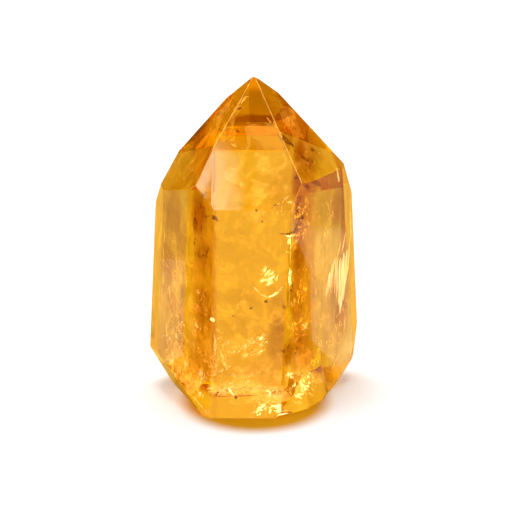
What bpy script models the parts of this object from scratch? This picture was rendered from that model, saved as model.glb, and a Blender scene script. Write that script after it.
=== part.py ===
"""Citrine crystal point: one natural quartz crystal, cut and polished to stand on its foot.

The stone is cut here the way a lapidary cuts it. A rough block is laid against flat laps, one facet at a
time, and every facet is given by the direction it faces, by how far it leans, and by how far from the
stone's axis it is ground. Then every crisp edge is broken with a narrow flat, the unground swelling low on
the right is joined on, a chip is taken out of the front right corner of the foot, and the stone is stood on
its base.

Axes: +Z up through the point, -Y the broad front face, +X the stone's right as seen from the front.
Origin: on the base plane, under the middle of the bounding box.
"""

import math

import bmesh
import bpy
from mathutils import Matrix, Vector

MM = 0.001
NODE = "crystal"
COLLECTION = "citrine_crystal_point"
CUTTERS = "cutters"

# Driving dimensions of the stone, in metres.
BLOCK_WIDTH = 60.0 * MM
BLOCK_HEIGHT = 80.0 * MM
WAIST_HEIGHT = 20.0 * MM
SHOULDER_HEIGHT = 44.0 * MM
EDGE_FLAT_WIDTH = 0.22 * MM
EDGE_FLAT_LEAST_ANGLE = math.radians(16.0)
ON_PLANE = 0.0001 * MM
BLEND_POINTS = 0.004 * MM

# Facets of the prism: name, direction in degrees (0 is the front, positive turns to the right), lean back
# from upright in degrees, and reach from the axis at the height of the waist.
PRISM_FACETS = (
    ("front", 0.0, 0.0, 18.5 * MM),
    ("left_band", -52.0, 1.0, 17.6 * MM),
    ("left", -66.0, 1.5, 16.8 * MM),
    ("left_side", -80.0, 2.0, 17.9 * MM),
    ("right_band", 62.0, -2.5, 13.8 * MM),
    ("right", 66.0, -2.0, 13.55 * MM),
    ("right_side", 78.0, 1.0, 16.4 * MM),
    ("back_left", -120.0, 4.0, 21.8 * MM),
    ("back_right", 122.0, 7.0, 24.8 * MM),
    ("back", 180.0, 0.0, 19.5 * MM),
)

# Facets of the point: name, direction, lean, and the height where each would cross the axis.
POINT_FACETS = (
    ("tip_front", 0.0, 40.0, 61.8 * MM),
    ("tip_left", -75.0, 39.5, 62.1 * MM),
    ("tip_right", 66.0, 38.4, 62.1 * MM),
    ("tip_back_left", -120.0, 38.5, 65.6 * MM),
    ("tip_back_right", 122.0, 39.0, 65.4 * MM),
    ("tip_back", 180.0, 38.5, 62.5 * MM),
    ("corner_left", -23.0, 38.0, 65.5 * MM),
    ("shoulder_left", -73.0, 34.5, 64.8 * MM),
    ("nick", 150.0, 62.0, 62.0 * MM),
)

# The steeper shoulder between the point and the prism: name, direction, lean, and reach at its own height.
SHOULDER_FACETS = (
    ("shoulder_back_left", -100.0, 26.0, 16.4 * MM),
)

# Bevels round the foot: name, direction, lean (they undercut, so it is negative), and reach at the base.
FOOT_FACETS = (
    ("foot_left", -76.0, -30.0, 13.4 * MM),
    ("foot_right", 77.0, -30.0, 13.9 * MM),
    ("foot_back_left", -118.0, -30.0, 18.4 * MM),
    ("foot_back_right", 122.0, -30.0, 20.2 * MM),
    ("foot_back", 180.0, -45.0, 17.3 * MM),
)

# The swelling low on the right, where the rough skin stands out past the ground facets: its outer faces and
# the hidden ones that end it inside the stone, each given by name, direction, lean, and reach at the base.
SWELLING_FACETS = (
    ("swell_corner", 49.0, 12.0, 15.4 * MM),
    ("swell_side", 65.0, 11.0, 14.3 * MM),
    ("swell_back", 84.0, 10.0, 14.35 * MM),
    ("swell_front", 0.0, 0.0, 18.45 * MM),
    ("swell_bevel", 77.0, -30.0, 13.88 * MM),
    ("swell_inside", -90.0, 0.0, 0.0),
    ("swell_behind", 180.0, 0.0, 3.0 * MM),
)
SWELLING_TOP = 9.5 * MM
SWELLING_LIFT = 0.02 * MM

# The shell-shaped chip in the front right corner of the foot, before the stone is centred.
CHIP_CENTRE = (6.3 * MM, -17.4 * MM, -0.5 * MM)
CHIP_RADII = (2.7 * MM, 2.9 * MM, 1.9 * MM)
CHIP_TILT = math.radians(24.0)

CITRINE_COLOUR = (0.86, 0.42, 0.05, 1.0)
CITRINE_ROUGHNESS = 0.06
QUARTZ_IOR = 1.544


def clear_scene():
    """Remove every object, so that the script gives the same scene wherever it is run."""
    for thing in list(bpy.data.objects):
        bpy.data.objects.remove(thing, do_unlink=True)


def new_collection(name):
    """Make a collection under the scene's own."""
    collection = bpy.data.collections.new(name)
    bpy.context.scene.collection.children.link(collection)
    return collection


def facet_normal(direction, lean):
    """Outward normal of a facet that faces a direction and leans back from upright, both in degrees."""
    turn = math.radians(direction)
    tilt = math.radians(lean)
    level = Vector((math.sin(turn), -math.cos(turn), 0.0))
    return level * math.cos(tilt) + Vector((0.0, 0.0, math.sin(tilt)))


def point_at_reach(direction, reach, height):
    """A point a given distance from the axis, out along a direction, at a height."""
    turn = math.radians(direction)
    return Vector((math.sin(turn) * reach, -math.cos(turn) * reach, height))


def grind(stone, through, normal):
    """Cut the stone flat on a plane and keep the side behind it."""
    everything = stone.verts[:] + stone.edges[:] + stone.faces[:]
    cut = bmesh.ops.bisect_plane(
        stone, geom=everything, dist=ON_PLANE, plane_co=through, plane_no=normal, clear_outer=True)
    rim = [piece for piece in cut["geom_cut"] if isinstance(piece, bmesh.types.BMEdge)]
    if rim:
        bmesh.ops.edgeloop_fill(stone, edges=rim)
        bmesh.ops.recalc_face_normals(stone, faces=stone.faces[:])


def rough_block():
    """The block of rough, with its underside on the base plane."""
    stone = bmesh.new()
    bmesh.ops.create_cube(stone, size=1.0)
    bmesh.ops.scale(stone, verts=stone.verts, vec=(BLOCK_WIDTH, BLOCK_WIDTH, BLOCK_HEIGHT))
    bmesh.ops.translate(stone, verts=stone.verts, vec=(0.0, 0.0, BLOCK_HEIGHT / 2.0))
    return stone


def cut_facets(stone):
    """Grind the prism, then the point, the shoulders and the bevels of the foot."""
    for name, direction, lean, reach in PRISM_FACETS:
        grind(stone, point_at_reach(direction, reach, WAIST_HEIGHT), facet_normal(direction, lean))
    for name, direction, lean, height in POINT_FACETS:
        grind(stone, Vector((0.0, 0.0, height)), facet_normal(direction, lean))
    for name, direction, lean, reach in SHOULDER_FACETS:
        grind(stone, point_at_reach(direction, reach, SHOULDER_HEIGHT), facet_normal(direction, lean))
    for name, direction, lean, reach in FOOT_FACETS:
        grind(stone, point_at_reach(direction, reach, 0.0), facet_normal(direction, lean))


def rough_swelling():
    """The swelling as a block of its own, which ends inside the stone and just above the base plane."""
    swelling = rough_block()
    for name, direction, lean, reach in SWELLING_FACETS:
        grind(swelling, point_at_reach(direction, reach, 0.0), facet_normal(direction, lean))
    grind(swelling, Vector((0.0, 0.0, SWELLING_TOP)), Vector((0.0, 0.0, 1.0)))
    grind(swelling, Vector((0.0, 0.0, SWELLING_LIFT)), Vector((0.0, 0.0, -1.0)))
    break_edges(swelling)
    bmesh.ops.remove_doubles(swelling, verts=swelling.verts, dist=BLEND_POINTS)
    return swelling


def break_edges(stone):
    """Grind a narrow flat along every edge that would otherwise be sharp."""
    stone.normal_update()
    flats = []
    for edge in stone.edges:
        angle = edge.calc_face_angle()
        if angle < EDGE_FLAT_LEAST_ANGLE:
            continue
        normal = (edge.link_faces[0].normal + edge.link_faces[1].normal).normalized()
        middle = (edge.verts[0].co + edge.verts[1].co) / 2.0
        depth = EDGE_FLAT_WIDTH * math.tan(angle / 2.0) / 2.0
        flats.append((middle - normal * depth, normal))
    for through, normal in flats:
        grind(stone, through, normal)


def stand_on_base(stone):
    """Put the base at zero height and the middle of the bounding box on the axis. Returns the shift."""
    xs = [point.co.x for point in stone.verts]
    ys = [point.co.y for point in stone.verts]
    zs = [point.co.z for point in stone.verts]
    shift = Vector((-(min(xs) + max(xs)) / 2.0, -(min(ys) + max(ys)) / 2.0, -min(zs)))
    bmesh.ops.translate(stone, verts=stone.verts, vec=shift)
    return shift


def citrine():
    """Clear orange-yellow quartz with a lapidary polish."""
    material = bpy.data.materials.new("citrine")
    material.use_nodes = True
    shader = material.node_tree.nodes["Principled BSDF"]
    shader.inputs["Base Color"].default_value = CITRINE_COLOUR
    shader.inputs["Roughness"].default_value = CITRINE_ROUGHNESS
    shader.inputs["Metallic"].default_value = 0.0
    shader.inputs["IOR"].default_value = QUARTZ_IOR
    shader.inputs["Transmission Weight"].default_value = 1.0
    return material


def make_object(name, shape, collection):
    """Turn a bmesh into a named object in a collection."""
    mesh = bpy.data.meshes.new(name)
    shape.to_mesh(mesh)
    shape.free()
    thing = bpy.data.objects.new(name, mesh)
    collection.objects.link(thing)
    return thing


def make_cutter(name, shape, collection):
    """A helper shape for a modifier, shown as wires and never rendered."""
    cutter = make_object(name, shape, collection)
    cutter.hide_render = True
    cutter.display_type = "WIRE"
    return cutter


def make_chip_cutter(shift, collection):
    """The shell-shaped bite that leaves the chip: a flattened ball set across the corner of the foot."""
    bite = bmesh.new()
    bmesh.ops.create_icosphere(bite, subdivisions=2, radius=1.0)
    bmesh.ops.scale(bite, verts=bite.verts, vec=CHIP_RADII)
    bmesh.ops.rotate(bite, verts=bite.verts, cent=(0.0, 0.0, 0.0), matrix=Matrix.Rotation(CHIP_TILT, 3, "Z"))
    bmesh.ops.translate(bite, verts=bite.verts, vec=Vector(CHIP_CENTRE) + shift)
    return make_cutter("chip_cutter", bite, collection)


def make_crystal():
    """The whole stone."""
    parts = new_collection(COLLECTION)
    cutters = new_collection(CUTTERS)
    stone = rough_block()
    cut_facets(stone)
    break_edges(stone)
    bmesh.ops.remove_doubles(stone, verts=stone.verts, dist=BLEND_POINTS)
    shift = stand_on_base(stone)
    crystal = make_object(NODE, stone, parts)
    crystal.data.materials.append(citrine())
    swelling = rough_swelling()
    bmesh.ops.translate(swelling, verts=swelling.verts, vec=shift)
    swell = crystal.modifiers.new("swelling", "BOOLEAN")
    swell.operation = "UNION"
    swell.solver = "EXACT"
    swell.object = make_cutter("swelling", swelling, cutters)
    chip = crystal.modifiers.new("chip", "BOOLEAN")
    chip.operation = "DIFFERENCE"
    chip.solver = "EXACT"
    chip.object = make_chip_cutter(shift, cutters)
    return crystal


clear_scene()
make_crystal()
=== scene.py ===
"""A citrine crystal point on a pale floor: the polished stone, what is sealed in it, and its light."""

import math
import random

import bmesh
import bpy
from mathutils import Matrix, Vector
from mathutils.bvhtree import BVHTree


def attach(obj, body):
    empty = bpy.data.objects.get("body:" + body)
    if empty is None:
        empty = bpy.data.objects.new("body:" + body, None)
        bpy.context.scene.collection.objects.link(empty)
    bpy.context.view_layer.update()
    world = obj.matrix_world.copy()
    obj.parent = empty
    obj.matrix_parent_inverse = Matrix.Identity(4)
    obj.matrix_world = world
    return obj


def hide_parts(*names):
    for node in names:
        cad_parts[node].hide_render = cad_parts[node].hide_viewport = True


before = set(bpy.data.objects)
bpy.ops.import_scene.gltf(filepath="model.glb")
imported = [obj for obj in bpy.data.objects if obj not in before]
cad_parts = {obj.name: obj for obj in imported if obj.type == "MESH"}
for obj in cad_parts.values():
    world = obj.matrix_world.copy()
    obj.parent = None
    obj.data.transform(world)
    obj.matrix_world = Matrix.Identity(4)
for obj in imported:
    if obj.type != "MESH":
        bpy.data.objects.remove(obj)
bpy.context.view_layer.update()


# ---- The stone ----
# One natural quartz crystal, coloured amber by traces of iron all through. Its front is ground and
# polished, its back is still as nature etched it, and it stands on a ground base.

MM = 0.001
QUARTZ_IOR = 1.544
AMBER_DEPTH = 110.0
AMBER_PASSES = (0.96, 0.90, 0.0, 1.0)
FRONT_TINT = (0.83, 0.475, 0.37, 1.0)
# Besides the stone's own colour, the band, side and tip tints paint in shade and the foot tint paints in
# light.
BAND_TINT_AND_SHADE = (0.66, 0.26, 0.12, 1.0)
SIDE_TINT_AND_SHADE = (0.78, 0.465, 0.17, 1.0)
TIP_TINT_AND_SHADE = (0.84, 0.44, 0.22, 1.0)
FOOT_TINT_AND_LIGHT = (0.96, 0.66, 0.46, 1.0)
BASE_TINT = (1.0, 0.92, 0.60, 1.0)
SMOKE_TINT = (0.84, 0.70, 0.62, 1.0)
STAIN_TINT = (0.42, 0.17, 0.02, 1.0)
# Painted shade that darkens the top of the tip, where less light comes up from the base.
PAINTED_CAP_SHADE = (0.42, 0.30, 0.10, 1.0)
# How far out from the middle the side tints and their painted shade start and are full, and how high
# the tip and foot tints with their painted shade and light do.
BAND_FROM, BAND_FULL = 6.8 * MM, 8.0 * MM
SIDE_FROM, SIDE_FULL = 10.5 * MM, 12.5 * MM
TIP_FROM, TIP_FULL = 50.0 * MM, 53.0 * MM
FOOT_FROM, FOOT_FULL = 9.0 * MM, 6.0 * MM
CAP_FROM, CAP_FULL = 54.2 * MM, 54.4 * MM
CAP_LEFT, CAP_RIGHT = -1.1 * MM, -0.8 * MM
POLISHED = 0.015
ETCHED = 0.14
GROUND = 0.35
FOOT_ROUGH = 0.26
RIPPLE_DEPTH = 0.5 * MM
STAINS = (
    # x and z of the middle, width, height, strength
    (8.3, 30.5, 1.6, 3.6, 0.6), (7.0, 22.6, 1.0, 2.6, 0.6), (6.6, 12.3, 1.6, 3.4, 1.0),
    (8.8, 13.0, 2.0, 3.4, 0.55), (16.0, 36.5, 1.9, 5.2, 0.9), (13.6, 38.0, 2.0, 4.0, 0.4),
    (-15.3, 35.5, 2.2, 6.0, 0.7), (-16.4, 27.5, 2.2, 5.0, 0.7), (-10.3, 38.0, 1.8, 5.4, 1.0),
    (-9.6, 31.0, 1.5, 4.6, 0.7), (-9.2, 22.0, 1.2, 4.0, 0.4), (-13.8, 33.5, 1.5, 6.0, 0.5),
    (9.4, 45.2, 2.4, 3.2, 0.6), (6.4, 51.2, 1.2, 2.6, 0.9), (8.6, 48.6, 1.6, 2.4, 1.0),
    (11.6, 49.0, 2.2, 3.0, 0.5), (8.6, 52.6, 1.6, 2.0, 0.5), (5.0, 43.5, 3.0, 4.0, 0.4),
    (4.4, 14.0, 2.2, 5.5, 0.65), (-2.0, 17.8, 4.0, 3.0, 0.25), (2.0, 9.0, 3.4, 3.0, 0.3),
    (16.2, 20.0, 1.6, 4.0, 0.3), (8.4, 37.2, 2.0, 2.8, 0.4), (-11.3, 49.0, 1.2, 2.5, 0.4),
    (10.6, 47.6, 3.2, 4.0, 0.6), (-6.3, 53.2, 2.2, 4.4, 0.3), (-9.6, 50.0, 2.4, 3.4, 0.45),
    (9.8, 43.2, 2.4, 2.6, 0.5),
)
scene = bpy.context.scene


class Shade:
    """A number, colour or vector that a node tree works out. Numbers combine as Python writes them."""

    def __init__(self, tree, socket=None):
        self.tree = tree
        self.socket = socket

    def node(self, kind, settings=None, values=(), output=0):
        """Add a node, set it up, fill its sockets with values or links, and return one of its outputs."""
        made = self.tree.nodes.new(kind)
        for name, setting in (settings or {}).items():
            if name == "stops":
                for stop, (place, colour) in zip(made.color_ramp.elements, setting):
                    stop.position, stop.color = place, colour
            else:
                setattr(made, name, setting)
        pairs = values.items() if isinstance(values, dict) else enumerate(values)
        for key, value in pairs:
            if isinstance(value, Shade):
                self.tree.links.new(value.socket, made.inputs[key])
            else:
                made.inputs[key].default_value = value
        return Shade(self.tree, made.outputs[output])

    def maths(self, operation, *values):
        return self.node("ShaderNodeMath", {"operation": operation}, values)

    def __add__(self, other):
        return self.maths("ADD", self, other)

    def __radd__(self, other):
        return self.maths("ADD", other, self)

    def __sub__(self, other):
        return self.maths("SUBTRACT", self, other)

    def __rsub__(self, other):
        return self.maths("SUBTRACT", other, self)

    def __mul__(self, other):
        return self.maths("MULTIPLY", self, other)

    def __rmul__(self, other):
        return self.maths("MULTIPLY", other, self)

    def __abs__(self):
        return self.maths("ABSOLUTE", self)

    def place(self):
        return self.node("ShaderNodeTexCoord", output="Object")

    def part(self, axis):
        return self.node("ShaderNodeSeparateXYZ", values=(self,), output=axis)

    def step(self, low, high):
        """Rise smoothly from 0 at the low value to 1 at the high one."""
        return self.node("ShaderNodeMapRange", {"interpolation_type": "SMOOTHSTEP"},
                         {"Value": self, "From Min": low, "From Max": high})

    def mix(self, share, first, second, blend="MIX"):
        """Mix two colours by a share of the second."""
        return self.node("ShaderNodeMix", {"data_type": "RGBA", "blend_type": blend},
                         {0: share, 6: first, 7: second}, 2)

    def noise(self, scale, detail=2.0, distortion=0.0):
        values = {"Vector": self, "Scale": scale, "Detail": detail, "Distortion": distortion}
        return self.node("ShaderNodeTexNoise", values=values)

    def within(self, middle, reach):
        """How far a point is from a middle, where 1 is as far as the reach."""
        away = self.node("ShaderNodeVectorMath", {"operation": "SUBTRACT"}, (self, middle))
        scaled = self.node("ShaderNodeVectorMath", {"operation": "DIVIDE"}, (away, reach))
        return self.node("ShaderNodeVectorMath", {"operation": "LENGTH"}, (scaled,), "Value")

    def feed(self, shader, socket):
        self.tree.links.new(self.socket, shader.inputs[socket])


def new_material(name):
    """A material with its Principled shader, and a brush to paint its nodes with."""
    material = bpy.data.materials.new(name)
    material.use_nodes = True
    return material, Shade(material.node_tree), material.node_tree.nodes["Principled BSDF"]


def citrine():
    """Amber, glass-clear quartz with soft stains, darker along its sides and under its tip, partly by
    painted shade.
    """
    material, brush, shader = new_material("citrine")
    where = brush.place()
    facing = brush.node("ShaderNodeTexCoord", output="Normal")
    behind = facing.part("Y").step(0.05, 0.3)
    base = 1.0 - facing.part("Z").step(-0.97, -0.9)
    outward = abs(where.part("X"))
    upward = where.part("Z")
    side = outward.step(BAND_FROM, BAND_FULL)
    smoke = where.noise(130.0, 4.0, 0.6).step(0.46, 0.66)
    drawn_down = brush.node("ShaderNodeMapping", values={"Vector": where, "Scale": (700.0, 700.0, 110.0)})
    streak = drawn_down.noise(1.0, 3.0, 0.4).step(0.42, 0.66)
    tint_and_shade = brush.mix(side, FRONT_TINT, BAND_TINT_AND_SHADE)
    tint_and_shade = brush.mix(outward.step(SIDE_FROM, SIDE_FULL), tint_and_shade, SIDE_TINT_AND_SHADE)
    tint_and_shade = brush.mix(upward.step(TIP_FROM, TIP_FULL) * side, tint_and_shade, TIP_TINT_AND_SHADE)
    tint_and_shade = brush.mix(upward.step(FOOT_FROM, FOOT_FULL) * side, tint_and_shade, FOOT_TINT_AND_LIGHT)
    tint_and_shade = brush.mix(smoke * (0.25 + 0.75 * side), tint_and_shade, SMOKE_TINT, "MULTIPLY")
    tint_and_shade = brush.mix(0.8 * streak * side, tint_and_shade, SMOKE_TINT, "MULTIPLY")
    ragged = 0.9 * (where.noise(260.0, 3.0, 0.8) - 0.5)
    flat = where.node("ShaderNodeVectorMath", {"operation": "MULTIPLY"}, (where, (1.0, 0.0, 1.0)))
    stained = None
    for x, z, wide, high, strength in STAINS:
        away = flat.within((x * MM, 0.0, z * MM), (wide * MM, 1.0, high * MM)) + ragged
        stain = strength * (1.0 - away.step(0.35, 1.25))
        stained = stain if stained is None else stained.maths("MAXIMUM", stained, stain)
    in_front = 1.0 - behind
    # Painted shade on the cap at the top of the tip, strongest towards its right.
    cap_shade_mask = upward.step(CAP_FROM, CAP_FULL) * (0.6 + 0.4 * where.part("X").step(CAP_LEFT, CAP_RIGHT))
    tint_and_shade = brush.mix(cap_shade_mask * (1.0 - side) * in_front, tint_and_shade, PAINTED_CAP_SHADE, "MULTIPLY")
    tint_and_shade = brush.mix(stained * in_front, tint_and_shade, STAIN_TINT, "MULTIPLY")
    tint_and_shade = brush.mix(base, tint_and_shade, BASE_TINT)
    tint_and_shade.feed(shader, "Base Color")
    foot = side * upward.step(7.0 * MM, 4.0 * MM)
    rough = POLISHED + ETCHED * behind + GROUND * base
    rough.maths("MAXIMUM", rough, FOOT_ROUGH * foot).feed(shader, "Roughness")
    swell = where.noise(110.0) + 0.10 * where.noise(520.0)
    height = swell * (0.04 + 0.96 * behind)
    ripples = brush.node("ShaderNodeBump", values={"Height": height, "Distance": RIPPLE_DEPTH})
    ripples.feed(shader, "Normal")
    shader.inputs["IOR"].default_value = QUARTZ_IOR
    shader.inputs["Transmission Weight"].default_value = 1.0
    depth = {"Color": AMBER_PASSES, "Density": AMBER_DEPTH}
    absorb = brush.node("ShaderNodeVolumeAbsorption", values=depth)
    absorb.feed(material.node_tree.nodes["Material Output"], "Volume")
    return material


def add_piece(name, shape, materials, smooth=False):
    """Turn a bmesh into a piece that rides on the stone."""
    mesh = bpy.data.meshes.new(name)
    shape.to_mesh(mesh)
    shape.free()
    for material in materials:
        mesh.materials.append(material)
    for face in mesh.polygons:
        face.use_smooth = smooth
    piece = bpy.data.objects.new(name, mesh)
    scene.collection.objects.link(piece)
    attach(piece, "root")
    return piece


stone = bmesh.new()
stone.from_mesh(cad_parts["crystal"].data)
bmesh.ops.remove_doubles(stone, verts=stone.verts, dist=0.001 * MM)
bmesh.ops.dissolve_limit(stone, angle_limit=math.radians(0.5), verts=stone.verts, edges=stone.edges)
crystal = add_piece("citrine_stone", stone, [citrine()])
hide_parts("crystal")


# ---- Healed fractures ----
# The stone cracked while it grew and healed again. Each crack is left as a sheet of tiny flat bubbles,
# which shine as veils, rows and sparks with painted light of their own. They are sealed in, a little
# under the polished skin.

skin = BVHTree.FromObject(crystal, bpy.context.evaluated_depsgraph_get())
chance = random.Random(11)
SEALED_DEPTH = 0.2 * MM
LEAST_DEPTH = 0.65
LONGEST_FLAKE = 1.1
CLUSTER = 7
CLUSTER_LENGTH = 0.45
CLUSTER_WIDTH = 0.3
CLUSTER_DEPTH = 0.3
FLAKE_TILT = 0.35
FLAKE_THINNESS = 0.15


def under(x, z, depth):
    """A point at a depth in millimetres under the skin at x and z, and the facet's normal, or None."""
    start = Vector((x * MM, -100.0 * MM, z * MM))
    place, facing, face, way = skin.ray_cast(start, Vector((0.0, 1.0, 0.0)))
    return (place - facing * depth * MM, facing) if place else (None, None)


def sealed(point):
    """Whether a point lies well under the skin."""
    place, facing, face, way = skin.find_nearest(point)
    return (place - point).dot(facing) > SEALED_DEPTH


def wobble(amount):
    return Vector([chance.gauss(0.0, amount) for axis in range(3)])


def lay_flake(shape, place, facing, along, sizes, roundness=1, ragged=0.3):
    """A thin ragged flake of a length, width and thickness in millimetres, flat to a direction."""
    facing = facing.normalized()
    across = facing.cross(along).normalized()
    along = across.cross(facing)
    long, wide, thin = (size * MM / 2.0 for size in sizes)
    turn = Matrix((along * long, across * wide, facing * thin)).transposed()
    flake = bmesh.ops.create_icosphere(shape, subdivisions=roundness, radius=1.0)["verts"]
    lobes = [chance.uniform(0.0, math.tau) for lobe in range(3)]
    for vert in flake:
        around = math.atan2(vert.co.y, vert.co.x)
        waves = sum(math.sin((lobe + 2) * around + start) for lobe, start in enumerate(lobes))
        swell = 1.0 + ragged * waves / 2.0
        vert.co = place + turn @ Vector((vert.co.x * swell, vert.co.y * swell, vert.co.z))


def bubble_film(name, dim, bright, glow, cover=1.0):
    """The wall of a flat bubble: its tone wanders between a dim and a bright colour, and it glows with it
    as painted light.
    """
    material, brush, shader = new_material(name)
    where = brush.place()
    tone = brush.mix(where.noise(700.0, 3.0).step(0.38, 0.60), dim, bright)
    tone.feed(shader, "Base Color")
    # The glow is painted light, standing in for the light that the bubbles reflect.
    tone.feed(shader, "Emission Color")
    shader.inputs["Emission Strength"].default_value = glow
    shader.inputs["Roughness"].default_value = 0.35
    shader.inputs["Alpha"].default_value = cover
    return material


# The film colours are also their painted glow; the brightest is a painted glint.
PAINTED_GLINT = (1.0, 0.98, 0.60, 1.0)
STRAW = (1.0, 0.80, 0.28, 1.0)
HONEY = (0.85, 0.54, 0.09, 1.0)
bright_film = bubble_film("bright_film", STRAW, PAINTED_GLINT, 1.5, cover=0.85)
soft_film = bubble_film("soft_film", HONEY, STRAW, 0.85, cover=0.42)
gold_film = bubble_film("gold_film", (1.0, 0.62, 0.06, 1.0), (1.0, 0.95, 0.14, 1.0), 1.1, cover=0.5)
pale_film = bubble_film("pale_film", (1.0, 0.80, 0.34, 1.0), (1.0, 0.94, 0.62, 1.0), 0.95, cover=0.3)


def veil(name, places, tilt, size, film=soft_film):
    """Sheets of bubbles in small clusters: each place gives x, z, depth, width, height and how many."""
    shape = bmesh.new()
    slope = math.radians(tilt)
    for x, z, depth, width, height, count in places:
        for cluster in range(count // CLUSTER):
            reach = math.sqrt(chance.random()) / 2.0
            turn = chance.uniform(0.0, math.tau)
            middle_x = x + reach * math.cos(turn) * width
            middle_z = z + reach * math.sin(turn) * height
            for flake in range(CLUSTER):
                dx = chance.gauss(0.0, CLUSTER_LENGTH)
                dz = chance.gauss(0.0, CLUSTER_WIDTH)
                place, facing = under(middle_x + dx * math.cos(slope) - dz * math.sin(slope),
                                      middle_z + dx * math.sin(slope) + dz * math.cos(slope),
                                      max(LEAST_DEPTH, depth + chance.gauss(0.0, CLUSTER_DEPTH)))
                if place is None:
                    continue
                along = Vector((math.cos(slope), 0.0, math.sin(slope))) + wobble(FLAKE_TILT)
                length = min(LONGEST_FLAKE, size * chance.lognormvariate(0.0, 0.55))
                sizes = (length, length * chance.uniform(0.3, 0.75), length * FLAKE_THINNESS)
                lay_flake(shape, place, facing + wobble(FLAKE_TILT), along, sizes)
    piece = add_piece(name, shape, [film], smooth=True)


veil("zigzag_veil", [
    (-3.0, 13.0, 1.4, 1.0, 0.5, 42), (-1.6, 13.8, 1.4, 1.0, 0.4, 49), (-0.3, 14.6, 1.4, 1.0, 0.4, 49),
    (1.2, 15.4, 1.4, 1.0, 0.4, 42), (-1.2, 12.2, 1.6, 1.6, 0.4, 42), (0.9, 12.9, 1.4, 1.6, 0.4, 49),
    (1.8, 14.0, 1.4, 0.8, 0.5, 21),
], 28.0, 0.27)
veil("left_veils", [
    (-15.9, 24.0, 1.6, 3.4, 15.0, 180), (-15.6, 12.0, 1.6, 4.0, 8.0, 170),
], 86.0, 0.32)
veil("left_band_veil", [
    (-10.6, 18.5, 1.5, 2.6, 15.0, 110), (-8.8, 11.0, 1.5, 2.0, 9.0, 63),
], 78.0, 0.36)
veil("low_veil", [
    (-5.8, 11.5, 1.8, 4.0, 9.0, 150), (-2.5, 6.5, 2.0, 7.0, 4.5, 130),
], 60.0, 0.25)
veil("foot_cloud", [
    (8.6, 4.4, 1.2, 7.0, 5.0, 280), (3.4, 3.4, 1.4, 7.0, 4.0, 160), (2.6, 1.5, 0.6, 7.0, 1.6, 90),
    (-1.5, 6.0, 0.8, 13.0, 1.2, 84), (-6.4, 5.5, 0.6, 5.0, 1.0, 56),
], 20.0, 0.34)
veil("foot_sparks", [
    (9.4, 4.4, 0.8, 4.0, 3.4, 42), (3.2, 1.6, 0.5, 6.5, 1.2, 35), (2.8, 5.0, 1.0, 1.4, 1.2, 7),
], 30.0, 0.46, bright_film)
veil("right_band_sparks", [
    (9.0, 37.0, 1.0, 3.8, 5.4, 112), (8.9, 24.0, 1.2, 3.6, 7.0, 84), (9.0, 16.6, 1.2, 3.6, 3.4, 70),
    (8.6, 33.4, 0.9, 2.8, 2.0, 28),
], 50.0, 0.38, gold_film)
veil("left_frost", [
    (-14.6, 8.0, 1.0, 3.6, 7.0, 56), (-15.4, 14.5, 1.0, 3.4, 8.0, 49), (-10.4, 7.0, 1.0, 2.4, 6.0, 35),
    (-16.4, 22.0, 1.0, 1.6, 6.0, 21),
], 80.0, 0.62, pale_film)
veil("right_veils", [
    (14.2, 35.0, 1.2, 4.4, 9.0, 70), (14.2, 12.0, 1.4, 5.0, 11.0, 150),
    (17.6, 12.0, 0.9, 1.4, 12.0, 70), (12.2, 24.0, 1.2, 2.0, 12.0, 84),
], 84.0, 0.36)
veil("tip_veils", [
    (10.5, 47.0, 1.2, 4.0, 4.0, 42), (-11.6, 47.5, 1.2, 4.0, 5.0, 42), (5.0, 41.0, 1.0, 4.0, 2.4, 35),
    (-13.6, 45.0, 0.9, 3.0, 3.0, 35),
], 45.0, 0.34)


# ---- Bright streaks ----
# Single cracks wide enough to hold a film of air: a fingerprint and its arc, dashes, a star, and edges of
# light, all shining with painted light. Older ones are stained brown and glow faintly with painted light.

BRIGHT_STREAKS = (
    # start x and z, end x and z, width, depth
    (2.0, 27.2, 2.9, 28.4, 0.42, 1.3), (2.6, 26.4, 3.7, 27.2, 0.40, 1.3),
    (1.2, 26.1, 2.1, 26.6, 0.45, 1.3), (1.8, 28.0, 2.2, 28.7, 0.30, 1.3),
    (3.1, 27.4, 3.6, 28.0, 0.30, 1.3), (2.6, 25.6, 3.1, 25.9, 0.34, 1.3),
    (2.7, 23.2, 3.5, 23.4, 0.34, 1.5), (3.5, 23.4, 4.4, 24.1, 0.42, 1.5),
    (6.9, 28.4, 6.9, 25.3, 0.80, 0.5), (6.9, 34.9, 6.9, 32.4, 0.50, 0.5),
    (6.4, 34.9, 8.2, 34.5, 0.36, 0.8), (9.3, 16.3, 10.3, 15.2, 0.34, 0.8),
    (9.3, 15.3, 10.4, 16.1, 0.34, 0.8), (-8.0, 19.2, -7.7, 18.7, 0.55, 0.6),
    (-11.3, 17.1, -10.9, 16.7, 0.46, 0.8), (-4.9, 5.6, -3.8, 4.5, 0.46, 0.6),
    (6.2, 8.0, 7.4, 7.4, 0.75, 0.6), (6.9, 7.4, 7.6, 6.6, 0.45, 0.6), (9.0, 5.0, 10.2, 3.6, 0.70, 0.6),
    (8.0, 3.2, 9.0, 2.4, 0.60, 0.6), (0.9, 12.7, 1.5, 13.0, 0.34, 1.0),
    (1.0, 15.2, 1.5, 15.5, 0.34, 1.0),
)
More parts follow.
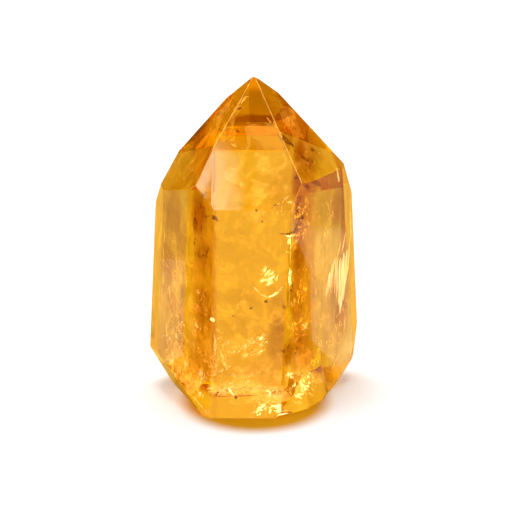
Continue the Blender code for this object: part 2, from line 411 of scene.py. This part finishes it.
SOFT_STREAKS = (
    (7.6, 32.0, 8.6, 33.6, 0.44, 0.8), (9.0, 33.0, 10.0, 34.6, 0.40, 0.8),
    (1.2, 27.6, 2.3, 28.9, 0.80, 1.5), (1.7, 26.7, 3.3, 28.4, 1.10, 1.5),
    (2.5, 26.0, 3.9, 27.4, 0.90, 1.5), (1.4, 26.8, 3.4, 26.4, 1.00, 1.7),
    (2.2, 25.2, 3.4, 26.2, 0.70, 1.5), (4.0, 26.2, 4.5, 27.4, 0.50, 1.5),
    (0.0, 25.1, 0.7, 24.2, 0.34, 1.5), (0.7, 24.2, 1.5, 23.5, 0.42, 1.5),
    (1.5, 23.5, 2.7, 23.1, 0.46, 1.5), (4.4, 24.1, 5.2, 25.1, 0.34, 1.5),
    (6.9, 32.0, 6.9, 29.3, 0.36, 0.5), (6.8, 25.0, 6.7, 21.4, 0.30, 0.5),
    (9.8, 16.8, 9.9, 14.7, 0.34, 0.8), (9.0, 14.4, 10.6, 14.0, 0.30, 0.8),
    (7.8, 13.6, 8.8, 14.4, 0.34, 0.8), (-6.9, 17.1, -6.6, 16.7, 0.36, 0.8),
    (-16.8, 11.6, -16.5, 10.7, 0.50, 0.8), (-14.8, 10.6, -14.1, 8.8, 0.80, 1.0),
    (-15.3, 14.1, -14.8, 13.0, 0.50, 0.8), (-17.6, 29.2, -17.5, 25.6, 0.50, 0.6),
    (-17.2, 32.5, -17.4, 30.2, 0.34, 0.6), (-16.5, 22.4, -16.3, 20.4, 0.60, 1.0),
    (-17.5, 24.6, -17.6, 22.2, 0.40, 0.6), (-16.9, 15.2, -16.8, 13.8, 0.44, 0.8),
    (-14.1, 19.4, -13.9, 17.4, 0.50, 1.0), (-12.9, 26.4, -12.9, 23.8, 0.26, 0.5),
    (-15.6, 25.4, -15.5, 22.6, 0.60, 1.0), (-15.0, 3.9, -12.3, 3.2, 0.30, 0.3),
    (-12.1, 3.5, -8.8, 0.6, 0.30, 0.3), (-7.5, 4.7, -6.6, 6.1, 0.36, 0.8),
    (-6.6, 6.1, -5.3, 6.8, 0.32, 0.8), (-6.8, 4.4, -6.1, 5.4, 0.26, 0.8),
    (-6.1, 5.4, -5.2, 5.9, 0.26, 0.8), (10.6, 2.6, 11.4, 1.8, 0.60, 0.6),
    (4.4, 3.4, 5.4, 2.0, 0.60, 0.6), (15.2, 36.0, 15.6, 34.0, 0.34, 0.8),
    (17.9, 13.8, 17.6, 9.2, 0.40, 0.5), (16.6, 6.4, 15.2, 4.2, 0.34, 0.5),
    (13.9, 38.6, 14.6, 36.4, 0.40, 0.8), (2.5, 55.3, 2.9, 54.4, 0.50, 0.6),
    (-4.0, 50.9, -3.5, 50.4, 0.50, 0.8), (-2.4, 57.6, -1.4, 58.8, 0.40, 0.6),
    (-16.2, 18.0, -16.0, 16.4, 0.50, 1.0), (-15.0, 28.6, -15.0, 26.4, 0.40, 1.0),
    (4.0, 6.2, 4.4, 4.4, 0.44, 0.8), (-6.4, 13.0, -5.2, 9.4, 0.60, 1.2),
    (-7.4, 16.0, -7.2, 12.0, 0.44, 0.6),
)
BROWN_STREAKS = (
    (5.1, 52.3, 8.2, 49.2, 0.90, 0.9), (8.0, 49.4, 10.9, 46.4, 0.70, 0.9),
    (4.8, 35.3, 10.2, 35.4, 0.36, 0.6), (-7.9, 38.9, -6.6, 37.8, 0.40, 0.5),
    (5.6, 22.2, 6.2, 20.8, 0.30, 0.7), (7.6, 39.8, 9.4, 37.8, 0.34, 0.7),
)
LINK_LENGTH = 0.22
LINK_THICKNESS = 0.10


def lay_streaks(name, runs, film):
    """Chains of ragged flakes, each broad in its middle and thin at its ends, in millimetres."""
    shape = bmesh.new()
    for start_x, start_z, end_x, end_z, width, depth in runs:
        run = Vector((end_x - start_x, end_z - start_z))
        links = max(3, round(run.length / LINK_LENGTH))
        for link in range(links):
            share = (link + chance.uniform(0.2, 0.8)) / links
            full = math.sin(math.pi * min(0.85, max(0.15, share)))
            stray = Vector((-run.y, run.x)).normalized() * chance.gauss(0.0, 0.16) * width
            x = start_x + run.x * share + stray.x
            z = start_z + run.y * share + stray.y
            place, facing = under(x, z, depth)
            along = Vector((run.x, 0.0, run.y)).normalized() + wobble(0.22)
            middle = place + wobble(0.04 * MM)
            facing = facing + wobble(0.25)
            sizes = (chance.uniform(0.45, 0.9), width * full * chance.uniform(0.5, 1.0), LINK_THICKNESS)
            lay_flake(shape, middle, facing, along, sizes, roundness=2)
    streaks = add_piece(name, shape, [film], smooth=True)


lay_streaks("bright_streaks", BRIGHT_STREAKS, bright_film)
lay_streaks("soft_streaks", SOFT_STREAKS, soft_film)
# Rust and ochre are the streaks' own stain; their faint glow is painted light.
RUST = (0.22, 0.08, 0.01, 1.0)
OCHRE = (0.45, 0.20, 0.02, 1.0)
brown_film = bubble_film("brown_film", RUST, OCHRE, 0.35, cover=0.6)
lay_streaks("brown_streaks", BROWN_STREAKS, brown_film)
veil("brown_specks", [
    (-10.3, 36.0, 0.9, 3.4, 14.0, 126), (9.0, 36.5, 0.8, 3.0, 5.0, 56), (8.0, 22.0, 0.9, 2.4, 7.0, 28),
    (10.0, 47.0, 0.8, 4.0, 4.0, 49), (7.6, 12.0, 1.0, 3.4, 4.0, 28),
], 70.0, 0.34, brown_film)
veil("swelling_specks", [
    (12.2, 8.0, 0.6, 2.0, 1.6, 42),
], 60.0, 0.40, gold_film)


# ---- Clouded sheets ----
# Larger cracks healed as curved, ragged sheets of bubbles too fine to tell apart. They look like wisps of
# mist that glow with painted light, and end before they reach the skin.

def mist(name, thickness, low, high, tone, spread):
    """Bubbles too fine to tell apart: see-through, thinned out into wisps and specks, glowing with
    painted light.
    """
    material, brush, shader = new_material(name)
    where = brush.place()
    speckle = 0.35 + 0.65 * where.noise(1400.0, 2.0).step(0.35, 0.65)
    wisp = where.noise(spread, 5.0, 1.2).step(low, high) * speckle
    (thickness * wisp).feed(shader, "Alpha")
    shader.inputs["Base Color"].default_value = tone
    shader.inputs["Emission Color"].default_value = tone
    shader.inputs["Emission Strength"].default_value = 0.95
    shader.inputs["Roughness"].default_value = 0.7
    return material


MIST_TONE = (1.0, 0.84, 0.42, 1.0)
fine_mist = mist("fine_mist", 0.29, 0.36, 0.74, MIST_TONE, 260.0)
glow_haze = mist("glow_haze", 0.62, 0.25, 0.55, (1.0, 0.62, 0.14, 1.0), 300.0)
glow_mist = mist("glow_mist", 0.34, 0.30, 0.70, (1.0, 0.72, 0.20, 1.0), 200.0)
SHEET_THICKNESS = 0.03 * MM
MISTS = (
    # name, middle, way it faces, half its width and height, how much it bends, film
    ("low_mist", (0.5, -8.0, 11.5), (0.05, -1.0, 0.25), 8.0, 11.0, 2.2, fine_mist),
    ("deep_mist", (-1.0, 3.0, 25.0), (0.25, -1.0, -0.2), 12.0, 19.0, -3.0, fine_mist),
    ("crown_mist", (1.0, -5.0, 42.0), (0.1, -0.8, 0.6), 7.5, 7.0, 1.6, fine_mist),
    ("left_mist", (-12.2, -2.0, 19.0), (-0.9, -0.45, 0.05), 6.5, 15.0, 1.8, fine_mist),
    ("right_mist", (12.0, -1.0, 24.0), (0.9, -0.45, 0.0), 6.5, 15.0, -1.5, fine_mist),
    ("right_foot_mist", (8.5, -7.0, 6.8), (0.55, -0.8, 0.2), 7.5, 5.6, 1.2, glow_mist),
    ("left_foot_mist", (-10.5, -7.0, 6.4), (-0.6, -0.8, -0.1), 6.5, 5.0, 1.0, glow_mist),
    ("left_bevel_mist", (-12.6, -5.4, 7.4), (-0.7, -0.7, -0.2), 4.0, 4.4, 0.4, glow_haze),
    ("foot_mist", (0.0, -14.5, 5.2), (0.0, -1.0, -0.1), 8.5, 4.4, 0.8, glow_mist),
    ("foot_haze", (-1.8, -16.4, 5.1), (0.0, -1.0, 0.0), 8.2, 1.7, 0.3, glow_haze),
    ("left_foot_haze", (-10.8, -11.9, 4.8), (-0.79, -0.61, 0.0), 3.6, 2.6, 0.2, glow_haze),
    ("band_mist", (-9.4, -8.0, 14.0), (-0.6, -0.8, 0.0), 3.0, 9.0, 0.8, fine_mist),
    ("left_tip_mist", (-4.2, 2.4, 51.5), (-0.7, -0.5, 0.5), 3.2, 6.0, 0.7, glow_mist),
    ("right_tip_mist", (4.8, 2.4, 51.5), (0.7, -0.5, 0.5), 3.2, 6.0, 0.7, glow_mist),
)


def ragged_rim(vert, bend):
    """How far a sheet reaches towards a vertex: its edge waves in and out five times on its way round."""
    return 0.82 + 0.16 * math.sin(5.0 * math.atan2(vert.co.y, vert.co.x) + bend)


for name, middle, facing, half_wide, half_high, bend, film in MISTS:
    facing = Vector(facing).normalized()
    across = facing.cross(Vector((0.0, 0.0, 1.0))).normalized()
    upward = across.cross(facing)
    sheet = bmesh.new()
    bmesh.ops.create_grid(sheet, x_segments=26, y_segments=34, size=1.0)
    outside = [vert for vert in sheet.verts if vert.co.xy.length > ragged_rim(vert, bend)]
    bmesh.ops.delete(sheet, geom=outside, context="VERTS")
    for vert in sheet.verts:
        u, v = vert.co.x, vert.co.y
        lift = bend * (u * u - 0.4) + 0.9 * math.sin(3.1 * v + bend) + 0.4 * math.sin(7.0 * u + 4.0 * v)
        offset = across * u * half_wide + upward * v * half_high + facing * lift
        vert.co = Vector(middle) * MM + offset * MM
    for spare in (lambda vert: not sealed(vert.co), lambda vert: not vert.link_faces):
        bmesh.ops.delete(sheet, geom=[vert for vert in sheet.verts if spare(vert)], context="VERTS")
    bmesh.ops.solidify(sheet, geom=sheet.faces, thickness=SHEET_THICKNESS)
    misty = add_piece(name, sheet, [film], smooth=True)


# ---- The bright tongues ----
# A crack near the right side has opened; the light its air gap throws back is painted as long pointed
# flames that glow.
# Each flame is one thin blade of trapped air, standing on end a little under the skin.

def flame_film():
    """Trapped air that shines with painted light, in fibres drawn out upwards."""
    material, brush, shader = new_material("flame_film")
    stretch = {"Vector": brush.place(), "Scale": (1500.0, 1500.0, 220.0)}
    drawn_out = brush.node("ShaderNodeMapping", values=stretch)
    stops = ((0.36, (1.0, 0.70, 0.28, 1.0)), (0.56, (1.0, 0.96, 0.82, 1.0)))
    tone = brush.node("ShaderNodeValToRGB", {"stops": stops}, {"Fac": drawn_out.noise(1.0, 3.0)})
    tone.feed(shader, "Base Color")
    tone.feed(shader, "Emission Color")
    shader.inputs["Emission Strength"].default_value = 1.2
    shader.inputs["Roughness"].default_value = 0.3
    return material


TONGUES = (
    # x and z of the top, x and z of the low end, width
    (19.0, 29.8, 18.3, 23.5, 0.8), (18.7, 28.6, 17.9, 20.0, 1.0), (18.2, 27.2, 17.5, 17.2, 1.3),
    (17.6, 26.6, 17.1, 15.6, 1.3), (17.2, 25.6, 16.85, 14.7, 0.9), (16.8, 26.2, 16.6, 16.2, 0.9),
    (16.3, 26.6, 16.1, 18.2, 0.9), (16.0, 26.4, 15.7, 19.5, 0.7), (15.7, 26.4, 14.9, 21.0, 0.6),
    (15.3, 25.6, 14.3, 20.0, 0.9), (14.8, 24.2, 14.0, 19.8, 0.8), (18.9, 33.6, 18.9, 28.8, 0.6),
    (17.9, 30.4, 17.1, 26.6, 0.35), (16.9, 29.2, 16.2, 26.4, 0.3), (16.1, 43.9, 16.4, 41.2, 0.6),
)
TONGUE_DEPTH = 0.7
TONGUE_THICKNESS = 0.12
tongue_shape = bmesh.new()
for top_x, top_z, low_x, low_z, width in TONGUES:
    top, facing = under(top_x, top_z, TONGUE_DEPTH)
    low, facing_low = under(low_x, low_z, TONGUE_DEPTH)
    lay_flake(tongue_shape, (top + low) / 2.0 + wobble(0.06 * MM), facing + facing_low, low - top,
              ((low - top).length / MM, width, TONGUE_THICKNESS), roundness=3, ragged=0.12)
tongues = add_piece("tongues", tongue_shape, [flame_film()], smooth=True)


# ---- Dark grains ----
# Crumbs of a dark brown mineral that settled on the stone while it was still small. The quartz grew over
# them and holds them fast.

def dark_mineral():
    """Dark brown, with a painted glow that stands in for the amber light around it."""
    material, brush, shader = new_material("dark_mineral")
    shader.inputs["Base Color"].default_value = (0.13, 0.055, 0.012, 1.0)
    shader.inputs["Emission Color"].default_value = (0.34, 0.14, 0.02, 1.0)
    shader.inputs["Emission Strength"].default_value = 0.6
    shader.inputs["Roughness"].default_value = 0.6
    return material


GRAINS = (
    # x, z, depth, size
    (-2.7, 56.8, 0.8, 0.95), (8.4, 45.4, 0.8, 0.8), (-7.3, 38.3, 0.7, 0.8), (0.4, 40.2, 1.0, 0.5),
    (1.5, 37.6, 1.0, 0.45), (2.2, 22.4, 1.0, 0.75), (-0.6, 21.1, 1.0, 0.6), (-3.9, 19.6, 1.2, 0.5),
    (-3.4, 4.0, 0.5, 0.75), (3.9, 40.9, 1.0, 0.45),
)
grain_shape = bmesh.new()
for x, z, depth, size in GRAINS:
    place, facing = under(x, z, depth)
    sizes = (size, size * 0.7, size * 0.5)
    lay_flake(grain_shape, place, facing + wobble(0.4), Vector((1.0, 0.0, 0.2)), sizes, roundness=2)
grains = add_piece("dark_grains", grain_shape, [dark_mineral()])


# ---- The floor ----
# A pale matt table. The light that the stone gathers on the table under itself, and the amber shadow and
# glow that it throws in front of its foot, are painted on the table. Far away the table is as bright as
# the room.

MIDDLE = (0.0, 0.0, 0.0)
FLOOR_HALF = 3.0
FLOOR_GAP = 0.02 * MM
PALE = (0.7, 0.7, 0.7, 1.0)
PALE_GLOW = (0.2, 0.2, 0.2, 1.0)
FAR_GLOW = (0.85, 0.85, 0.85, 1.0)
# Painted shadow and light: the amber shadow and glow in front of the stone, and the glow under its
# footprint.
PAINTED_AMBER_SHADOW = (0.40, 0.185, 0.0, 1.0)
PAINTED_AMBER_GLOW = (0.21, 0.095, 0.0, 1.0)
PAINTED_GLOW_MIDDLE = (0.3 * MM, -6.0 * MM, 0.0)
PAINTED_GLOW_REACH = (16.0 * MM, 25.5 * MM, 1.0)
PAINTED_UNDER_GLOW = (0.84, 1.10, 0.45, 1.0)
UNDER_EDGES = (
    # the direction that each edge of the base faces in degrees, and its reach in millimetres
    (0, 18.0), (-52, 17.0), (-76, 12.9), (-118, 18.0), (180, 16.9), (122, 19.8), (77, 13.3), (65, 14.3),
    (49, 15.3), (42, 15.9),
)
PAINTED_GATHERED_LIGHT = (1.95, 2.08, 0.75, 1.0)
PAINTED_GATHERED_REACH = (11.5 * MM, 17.3 * MM, 1.0)


def add_stage(name, shape, material):
    """Turn a bmesh into a thing that stands around the stone."""
    mesh = bpy.data.meshes.new(name)
    shape.to_mesh(mesh)
    shape.free()
    mesh.materials.append(material)
    thing = bpy.data.objects.new(name, mesh)
    scene.collection.objects.link(thing)
    return thing


def pale_floor():
    """Matt white, with painted light: what the stone gathers under itself, and the amber shadow and glow
    it throws in front.
    """
    material, brush, shader = new_material("pale_floor")
    where = brush.place()
    painted_thrown_glow = where.within(PAINTED_GLOW_MIDDLE, PAINTED_GLOW_REACH).step(1.0, 0.72)
    under_stone = 1.0
    for direction, reach in UNDER_EDGES:
        turn = math.radians(direction)
        outwards = (math.sin(turn), -math.cos(turn), 0.0)
        out = where.node("ShaderNodeVectorMath", {"operation": "DOT_PRODUCT"}, (where, outwards), "Value")
        under_stone = under_stone * out.step(reach * MM, (reach - 0.3) * MM)
    # The table's colour turns to a painted amber shadow in front of the stone, and its glow there is
    # painted light.
    brush.mix(painted_thrown_glow, PALE, PAINTED_AMBER_SHADOW).feed(shader, "Base Color")
    painted_gathered = where.within(MIDDLE, PAINTED_GATHERED_REACH).step(1.0, 0.92) * under_stone
    painted_gathered = painted_gathered * where.part("Y").step(12.0 * MM, 10.0 * MM)
    far = where.within(MIDDLE, (1.0, 1.0, 1.0)).step(0.2, 0.8)
    glow = brush.mix(far, PALE_GLOW, FAR_GLOW)
    glow = brush.mix(painted_thrown_glow, glow, PAINTED_AMBER_GLOW)
    glow = brush.mix(under_stone, glow, PAINTED_UNDER_GLOW)
    brush.mix(painted_gathered, glow, PAINTED_GATHERED_LIGHT).feed(shader, "Emission Color")
    shader.inputs["Roughness"].default_value = 0.9
    shader.inputs["Specular IOR Level"].default_value = 0.1
    shader.inputs["Emission Strength"].default_value = 1.0
    return material


floor = bmesh.new()
bmesh.ops.create_grid(floor, x_segments=1, y_segments=1, size=FLOOR_HALF)
bmesh.ops.translate(floor, verts=floor.verts, vec=(0.0, 0.0, -FLOOR_GAP))
add_stage("floor", floor, pale_floor())


# ---- The studio ----
# A bright room, a soft lamp overhead, a key lamp high on the left, and cards that only the polish sees:
# fans laid on the floor, dark walls, and lit cloths and strips overhead.

ROOM_GLOW = 0.3
SEEN_GLOW = 1.15
world = bpy.data.worlds.new("studio")
world.use_nodes = True
sky = Shade(world.node_tree)
room = world.node_tree.nodes["Background"]
seen_straight = sky.node("ShaderNodeLightPath", output="Is Camera Ray")
seen_through = sky.node("ShaderNodeLightPath", output="Is Transmission Ray")
(ROOM_GLOW + SEEN_GLOW * (seen_straight + seen_through)).feed(room, "Strength")
room.inputs["Color"].default_value = (1.0, 1.0, 1.0, 1.0)
scene.world = world


def add_lamp(name, size, place, power):
    """A rectangular lamp that faces the stone's foot."""
    light = bpy.data.lights.new(name, "AREA")
    light.shape = "RECTANGLE"
    light.size, light.size_y = size
    light.energy = power
    lamp = bpy.data.objects.new(name, light)
    lamp.location = place
    lamp.rotation_euler = (-Vector(place)).to_track_quat("-Z", "Y").to_euler()
    scene.collection.objects.link(lamp)
    return lamp


key = add_lamp("key_lamp", (0.34, 0.34), (-0.20, -0.17, 0.45), 1.2)
key.visible_glossy = False
add_lamp("overhead_lamp", (0.5, 0.5), (0.0, 0.26, 0.80), 7.5)


WHITE = (1.0, 1.0, 1.0, 1.0)
WARM = (1.0, 0.76, 0.26, 1.0)
GOLD = (1.0, 0.60, 0.11, 1.0)
WALL_REACH = 0.3


def add_card(name, corners, shade, soften=None, colour=WHITE):
    """A card that only the stone's polish sees."""
    material, brush, shader = new_material(name)
    shader.inputs["Base Color"].default_value = (0.0, 0.0, 0.0, 1.0)
    shader.inputs["Specular IOR Level"].default_value = 0.0
    shader.inputs["Emission Color"].default_value = colour
    shader.inputs["Emission Strength"].default_value = shade
    if soften:
        brush.mix(soften(brush.place()), (0.0, 0.0, 0.0, 1.0), colour).feed(shader, "Emission Color")
    card_shape = bmesh.new()
    card_shape.faces.new([card_shape.verts.new(corner) for corner in corners])
    card = add_stage(name, card_shape, material)
    card.visible_camera = False
    card.visible_diffuse = False
    card.visible_transmission = False
    card.visible_shadow = False


def round_stone(direction, reach, height):
    """A point out from the stone: direction in degrees from the front, to the right."""
    turn = math.radians(direction)
    return (reach * math.sin(turn), -reach * math.cos(turn), height)


def add_fan(name, start, end, near, far, shade, colour):
    """A card just above the floor and below the stone's base, fanned out between two directions."""
    middle = (start + end) / 2.0
    corners = ((start, near), (start, far), (middle, far), (end, far), (end, near))
    height = -FLOOR_GAP / 2.0
    add_card(name, [round_stone(direction, reach, height) for direction, reach in corners], shade,
             colour=colour)


def add_dark_wall(name, start, end, top):
    """An upright black card between two directions."""
    corners = ((start, 0.0), (end, 0.0), (end, top), (start, top))
    add_card(name, [round_stone(direction, WALL_REACH, height) for direction, height in corners], 0.0)


def add_level_card(name, outline, height, shade, soften=None, colour=WHITE):
    """A level card overhead, with its outline as distances to the right and back."""
    add_card(name, [(right, back, height) for right, back in outline], shade, soften, colour)


def cloth_edges(where):
    """The cloth's light falls off towards its right and back edges, and across a fold."""
    right = where.part("X")
    back = where.part("Y")
    right_edge = right.step(-0.001, -0.016)
    back_edge = (back + 0.283 * right).step(-0.156, -0.166)
    fold = (right - back).step(-0.1415, -0.1475)
    return right_edge * back_edge * fold.maths("MAXIMUM", fold, right.step(-0.20, -0.19))


FANS = (
    # name, from and to in degrees, near and far reach, shade, colour
    ("front_fan", -40.0, 40.0, 0.024, 0.9, 0.42, WHITE),
    ("left_dark_fan", -112.0, -40.0, 0.016, 0.9, 0.0, WHITE),
    ("left_near_fan", -133.0, -112.0, 0.016, 0.034, 0.55, GOLD),
    ("left_back_fan", -133.0, -112.0, 0.034, 0.15, 0.42, WHITE),
    ("left_far_fan", -133.0, -112.0, 0.15, 0.9, 0.18, WHITE),
    ("left_behind_fan", -178.0, -133.0, 0.016, 0.9, 1.0, GOLD),
    ("right_dark_fan", 40.0, 118.0, 0.016, 0.9, 0.0, WHITE),
    ("right_back_fan", 118.0, 137.0, 0.016, 0.15, 0.4, WHITE),
    ("right_far_fan", 118.0, 137.0, 0.15, 0.9, 0.18, WHITE),
    ("right_behind_fan", 137.0, 178.0, 0.016, 0.9, 1.0, GOLD),
)
CLOTH_OUTLINE = ((0.0, -0.30), (0.0, -0.15), (-0.42, -0.03), (-0.42, -0.30))
CLOTH_COLOUR = (0.85, 1.0, 0.82, 1.0)
CROWN_SHADE_OUTLINE = ((-0.05, -0.1463), (0.05, -0.1463), (0.05, -0.05), (-0.05, -0.05))
CROWN_LIGHT_OUTLINE = (
    (-0.0026, -0.1496), (0.02, -0.1496), (0.02, -0.1592), (0.0036, -0.1592), (-0.0006, -0.1534),
    (-0.0019, -0.1592), (-0.0026, -0.1592),
)
LEMON = (1.0, 0.95, 0.25, 1.0)
RIM_OUTLINE = ((0.35, -0.05), (0.8, -0.05), (0.8, 0.6), (0.35, 0.6))

for fan in FANS:
    add_fan(*fan)
add_level_card("crown_shade", CROWN_SHADE_OUTLINE, 0.44, 0.0)
add_dark_wall("left_wall", -165.0, -125.0, 0.22)
add_dark_wall("right_wall", 120.0, 160.0, 0.25)
add_level_card("softbox_cloth", CLOTH_OUTLINE, 0.45, 5.7, cloth_edges, CLOTH_COLOUR)
add_level_card("crown_light", CROWN_LIGHT_OUTLINE, 0.449, 2.0, colour=LEMON)
for side_name, side_of in (("left", -1.0), ("right", 1.0)):
    outline = [(side_of * right, back) for right, back in RIM_OUTLINE]
    add_level_card(f"{side_name}_rim_strip", outline, 0.8, 6.0, colour=WARM)


# ---- The camera ----
# It looks slightly down at the stone, from far off, through a long lens. Light crosses many walls inside
# the stone before it leaves, so many bounces are allowed.

CAMERA_PLACE = (-0.018 * MM, -587.39 * MM, 154.75 * MM)
CAMERA_AIM = (0.365 * MM, -1.069 * MM, 27.32 * MM)
CAMERA_LENS = 220.3
SENSOR_WIDTH = 36.0

camera_data = bpy.data.cameras.new("camera")
camera_data.lens = CAMERA_LENS
camera_data.sensor_width = SENSOR_WIDTH
camera_data.clip_start = 0.01
camera_data.clip_end = 20.0
camera = bpy.data.objects.new("camera", camera_data)
camera.location = CAMERA_PLACE
camera.rotation_euler = (Vector(CAMERA_AIM) - Vector(CAMERA_PLACE)).to_track_quat("-Z", "Y").to_euler()
scene.collection.objects.link(camera)
scene.camera = camera
scene.view_settings.view_transform = "Standard"
scene.cycles.max_bounces = 24
scene.cycles.glossy_bounces = 16
scene.cycles.transmission_bounces = 16

bpy.context.view_layer.update()
